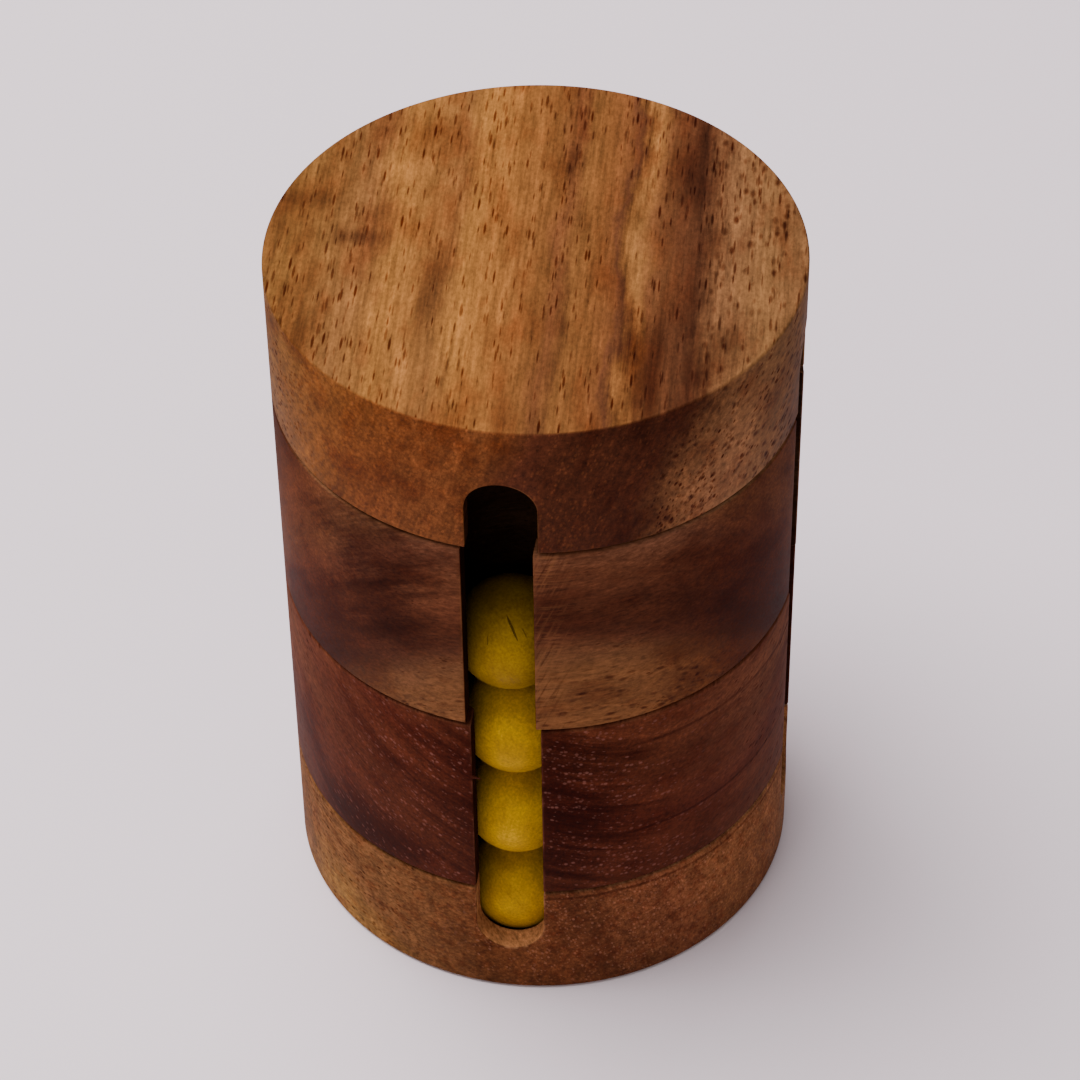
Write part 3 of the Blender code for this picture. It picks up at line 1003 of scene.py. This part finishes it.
# %% Ease, split the finishes and shade
SKIN = 0.0004           # faces this close to the outside were oiled
LEVEL_MARGIN = 1e-5     # faces this close to a layer's end lie in that end
WALL_FROM = 0.0289      # a slot's milled wall starts this far from the axis, where its channel ends
WALL_MARGIN = 0.0002
CLOSE_CORNERS = 0.00003


def finish_number(middle, low, high):
    """0 for the oiled outside, 1 for a slot's wall, 2 for the wall of a drilled bore. 1 and 2 carry
    painted shade, except the base's tan slot wall.
    """
    at_an_end = not low + LEVEL_MARGIN < middle.z < high - LEVEL_MARGIN
    if at_an_end or middle.xy.length > barrel_radius - SKIN:
        return 0
    off_centre, outward = sorted((abs(middle.x), abs(middle.y)))
    return 1 if outward > WALL_FROM and off_centre < SLOT_WIDTH / 2 + WALL_MARGIN else 2


for layer, piece in turned.items():
    low, high = level[layer]
    at_work_on(piece)
    bpy.ops.object.mode_set(mode="EDIT")
    bpy.ops.mesh.select_all(action="SELECT")
    bpy.ops.mesh.remove_doubles(threshold=CLOSE_CORNERS)
    pick("EDGE", lambda edge, middle: (
        len(edge.link_faces) == 2
        and edge.calc_face_angle() > math.radians(40)
        and middle.xy.length > barrel_radius - EASED_RIM - 0.00006
        and low + LEVEL_MARGIN < middle.z < high - LEVEL_MARGIN
    ))
    bpy.ops.mesh.bevel(offset=EASED_SLOT, segments=2, clamp_overlap=False)
    bpy.ops.object.mode_set(mode="OBJECT")
    for kind in finish[layer]:
        piece.data.materials.append(kind)
    # Faces in the slots and bores take the finishes that carry the painted shade.
    for face in piece.data.polygons:
        face.material_index = finish_number(face.center, low, high)
    bpy.ops.object.shade_smooth_by_angle(angle=math.radians(24))
    if layer == "upper_ring":
        piece.rotation_euler.z = UPPER_RING_TURN
        bpy.ops.object.transform_apply(location=False, rotation=True, scale=False)
    print(piece.name, len(piece.data.polygons), "faces,", 1000 * piece.dimensions.z, "mm tall")

# %% [markdown]
# ## Turn the balls
#
# One ball is modelled and copied. It starts as a sphere. On a lathe a bead is parted off at both
# ends, which leaves a tiny flat at each pole, so the vertices nearest to the poles are pressed
# level. Every copy gets its own mesh, its own turn from a seeded draw, and its own place.

# %% Model one ball
POLE_FLAT = 0.012  # how much of its radius a bead loses at each pole

nothing_selected()
bpy.ops.mesh.primitive_uv_sphere_add(segments=64, ring_count=40, radius=ball_radius, location=(0, 0, 0))
bead = bpy.context.object
bead.name = "bead_pattern"
bpy.ops.object.mode_set(mode="EDIT")
for pole in (1, -1):
    bpy.ops.mesh.select_mode(type="VERT")
    bpy.ops.mesh.select_all(action="DESELECT")
    shape = bmesh.from_edit_mesh(bead.data)
    flat = ball_radius * (1 - POLE_FLAT)
    for corner in shape.verts:
        if pole * corner.co.z > flat:
            corner.select_set(True)
    bmesh.update_edit_mesh(bead.data)
    bpy.ops.transform.resize(value=(1, 1, 0), center_override=(0, 0, pole * flat))
bpy.ops.object.mode_set(mode="OBJECT")
bpy.ops.object.shade_smooth()
print("bead:", len(bead.data.polygons), "faces")

# %% [markdown]
# ## Cracks in the top yellow ball
#
# A bead that dries too fast splits along its grain. Each split is cut with a blade: a sphere that
# is pressed thin and long and sunk into the surface. A Boolean takes it out, as a knife would.

# %% A cutter of cracks
CRACKS = (
    # The way it lies from the ball's centre; its lean in degrees; its length, width and depth in mm.
    ((0.116, -0.662, 0.740), -21, 3.7, 0.30, 0.60),
    ((-0.290, -0.800, 0.525), -10, 1.2, 0.20, 0.25),
    ((0.330, -0.680, 0.655), -14, 1.4, 0.18, 0.25),
)


def cut_cracks(ball, centre):
    for outward, lean, length, width, depth in CRACKS:
        outward = Vector(outward).normalized()
        up_the_ball = (Vector((0, 0, 1)) - outward.z * outward).normalized()
        facing = Matrix((up_the_ball.cross(outward), up_the_ball, outward)).transposed()
        nothing_selected()
        bpy.ops.mesh.primitive_uv_sphere_add(segments=24, ring_count=16, radius=0.0005)
        blade = bpy.context.object
        blade.scale = (width, length, 2 * depth)
        blade.rotation_euler = (facing @ Matrix.Rotation(math.radians(-lean), 3, "Z")).to_euler()
        blade.location = centre + ball_radius * outward
        bpy.ops.object.transform_apply(location=True, rotation=True, scale=True)
        cut_away(ball, blade)
        bpy.data.objects.remove(blade)
    bpy.ops.object.shade_smooth_by_angle(angle=math.radians(40))
    print(ball.name, "has", len(CRACKS), "cracks")


# %% Copy the balls
ROW_SHADE = (0.85, 0.15, 0.0, 0.3)  # how much darker each ball of a column is painted, from the top down: painted shade

draw = random.Random(7)
balls = {}
for colour in COLOURS:
    for number in range(1, BALLS_PER_COLUMN + 1):
        name = f"{colour}_ball_{number}"
        ball = bead.copy()
        ball.data = bead.data.copy()
        ball.name = "dyed_" + name
        ball.data.materials.append(dye[colour])
        bpy.context.scene.collection.objects.link(ball)
        board_corner = [40.0 * draw.random() for _ in range(3)]
        lean = Euler([draw.uniform(-0.5, 0.5), draw.uniform(-0.5, 0.5), draw.uniform(0, 6.28)])
        placed = Matrix.Translation(ball_centre(name)) @ lean.to_matrix().to_4x4()
        ball.data.transform(placed)
        if name == "yellow_ball_1":
            cut_cracks(ball, ball_centre(name))
        corners = np.empty(len(ball.data.vertices) * 3, np.float32)
        ball.data.vertices.foreach_get("co", corners)
        on_lathe = (corners.reshape(-1, 3) - placed.translation) @ np.array(placed.to_3x3())
        grain = ball.data.attributes.new("bead_grain", "FLOAT_VECTOR", "POINT")
        grain.data.foreach_set("vector", (1000 * on_lathe + board_corner).astype(np.float32).ravel())
        # painted shade by row, the same in every column
        row_shade = ball.data.attributes.new("painted_row_shade", "FLOAT", "POINT")
        row_shade.data.foreach_set("value", [ROW_SHADE[number - 1]] * len(ball.data.vertices))
        balls[name] = ball
bpy.data.objects.remove(bead)
print(len(balls), "balls")

# %% [markdown]
# ## A torn fibre
#
# Milling tore one fibre off the left wall of the lower ring's front slot, and it still sticks out.
# It starts as a thin cone with its thick end inside the wall. Edit mode divides it along its length
# and lowers each part beyond a division a little more, so that it bends down towards its tip.

# %% Torn fibre
FIBRE_LENGTH, FIBRE_WIDTH, FIBRE_HEIGHT = 0.0014, 0.0006, 0.0386
IN_WALL = 0.0004  # how far the fibre's thick end reaches into the wood
FIBRE_DROOP = 0.00004  # how much lower each quarter of the fibre lies than the quarter before it

nothing_selected()
bpy.ops.mesh.primitive_cone_add(
    vertices=12,
    radius1=FIBRE_WIDTH / 2,
    radius2=FIBRE_WIDTH / 8,
    depth=FIBRE_LENGTH,
    location=(FIBRE_LENGTH / 2 - SLOT_WIDTH / 2 - IN_WALL, -barrel_radius + FIBRE_WIDTH, FIBRE_HEIGHT),
    rotation=(0, math.radians(100), 0),
)
fibre = bpy.context.object
fibre.name = "torn_fibre"
bpy.ops.object.transform_apply(location=True, rotation=True, scale=True)
thick_end = -SLOT_WIDTH / 2 - IN_WALL
bpy.ops.object.mode_set(mode="EDIT")
pick("EDGE", lambda edge, middle: edge.calc_length() > FIBRE_LENGTH / 2)
bpy.ops.mesh.subdivide(number_cuts=3)
for quarter in (1, 2, 3):
    beyond = thick_end + (quarter / 4 + 0.05) * FIBRE_LENGTH
    pick("FACE", lambda face, middle: middle.x > beyond)
    bpy.ops.transform.translate(value=(0, 0, -FIBRE_DROOP))
bpy.ops.object.mode_set(mode="OBJECT")
bpy.ops.object.shade_smooth_by_angle(angle=math.radians(50))
fibre.data.materials.append(finish["lower_ring"][0])
print(fibre.name, len(fibre.data.polygons), "faces")

# %% [markdown]
# ## The dowel
#
# The dowel in the middle is plain birch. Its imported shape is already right, a cylinder with two
# chamfers, so it stays and only gets a finish.

# %% Dowel finish
def plain_birch(name):
    material = bpy.data.materials.new(name)
    material.use_nodes = True
    tree = material.node_tree
    surface = tree.nodes["Principled BSDF"]
    spot = add(tree, "TexCoord")["Object"]
    cells = add(tree, "Mapping", {0: spot, "Scale": (1600.0, 1600.0, 70.0)})[0]
    fibre = add(tree, "TexNoise", {0: cells, "Scale": 1.0, "Detail": 4.0})[0]
    colour = add(tree, "ValToRGB", {0: fibre}, stops=[(0.3, "#a98a5e"), (0.7, "#cdb287")])[0]
    tree.links.new(colour, surface.inputs["Base Color"])
    bump = add(tree, "Bump", {"Height": fibre, "Strength": 0.3, "Distance": 0.00005})[0]
    tree.links.new(bump, surface.inputs["Normal"])
    surface.inputs["Roughness"].default_value = 0.6
    return material


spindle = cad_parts["spindle"]
spindle.data.materials.clear()
spindle.data.materials.append(plain_birch("birch_dowel"))
print("spindle wears", spindle.data.materials[0].name)

# %% [markdown]
# ## Join every piece to its body
#
# A body is what moves as one. The base, the dowel and the cap are one body, each ring is one, and
# each ball is one. A visible piece rides on its body and stands for its imported node.

# %% Ride and replace
BODY_OF = {
    "base": "barrel_core",
    "lower_ring": "lower_ring",
    "upper_ring": "upper_ring",
    "cap": "barrel_core",
}

for layer, piece in turned.items():
    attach(piece, BODY_OF[layer])
    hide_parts(layer)
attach(fibre, "lower_ring")
for name, ball in balls.items():
    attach(ball, name)
    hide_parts(name)
print(len(turned) + len(balls) + 1, "pieces joined")
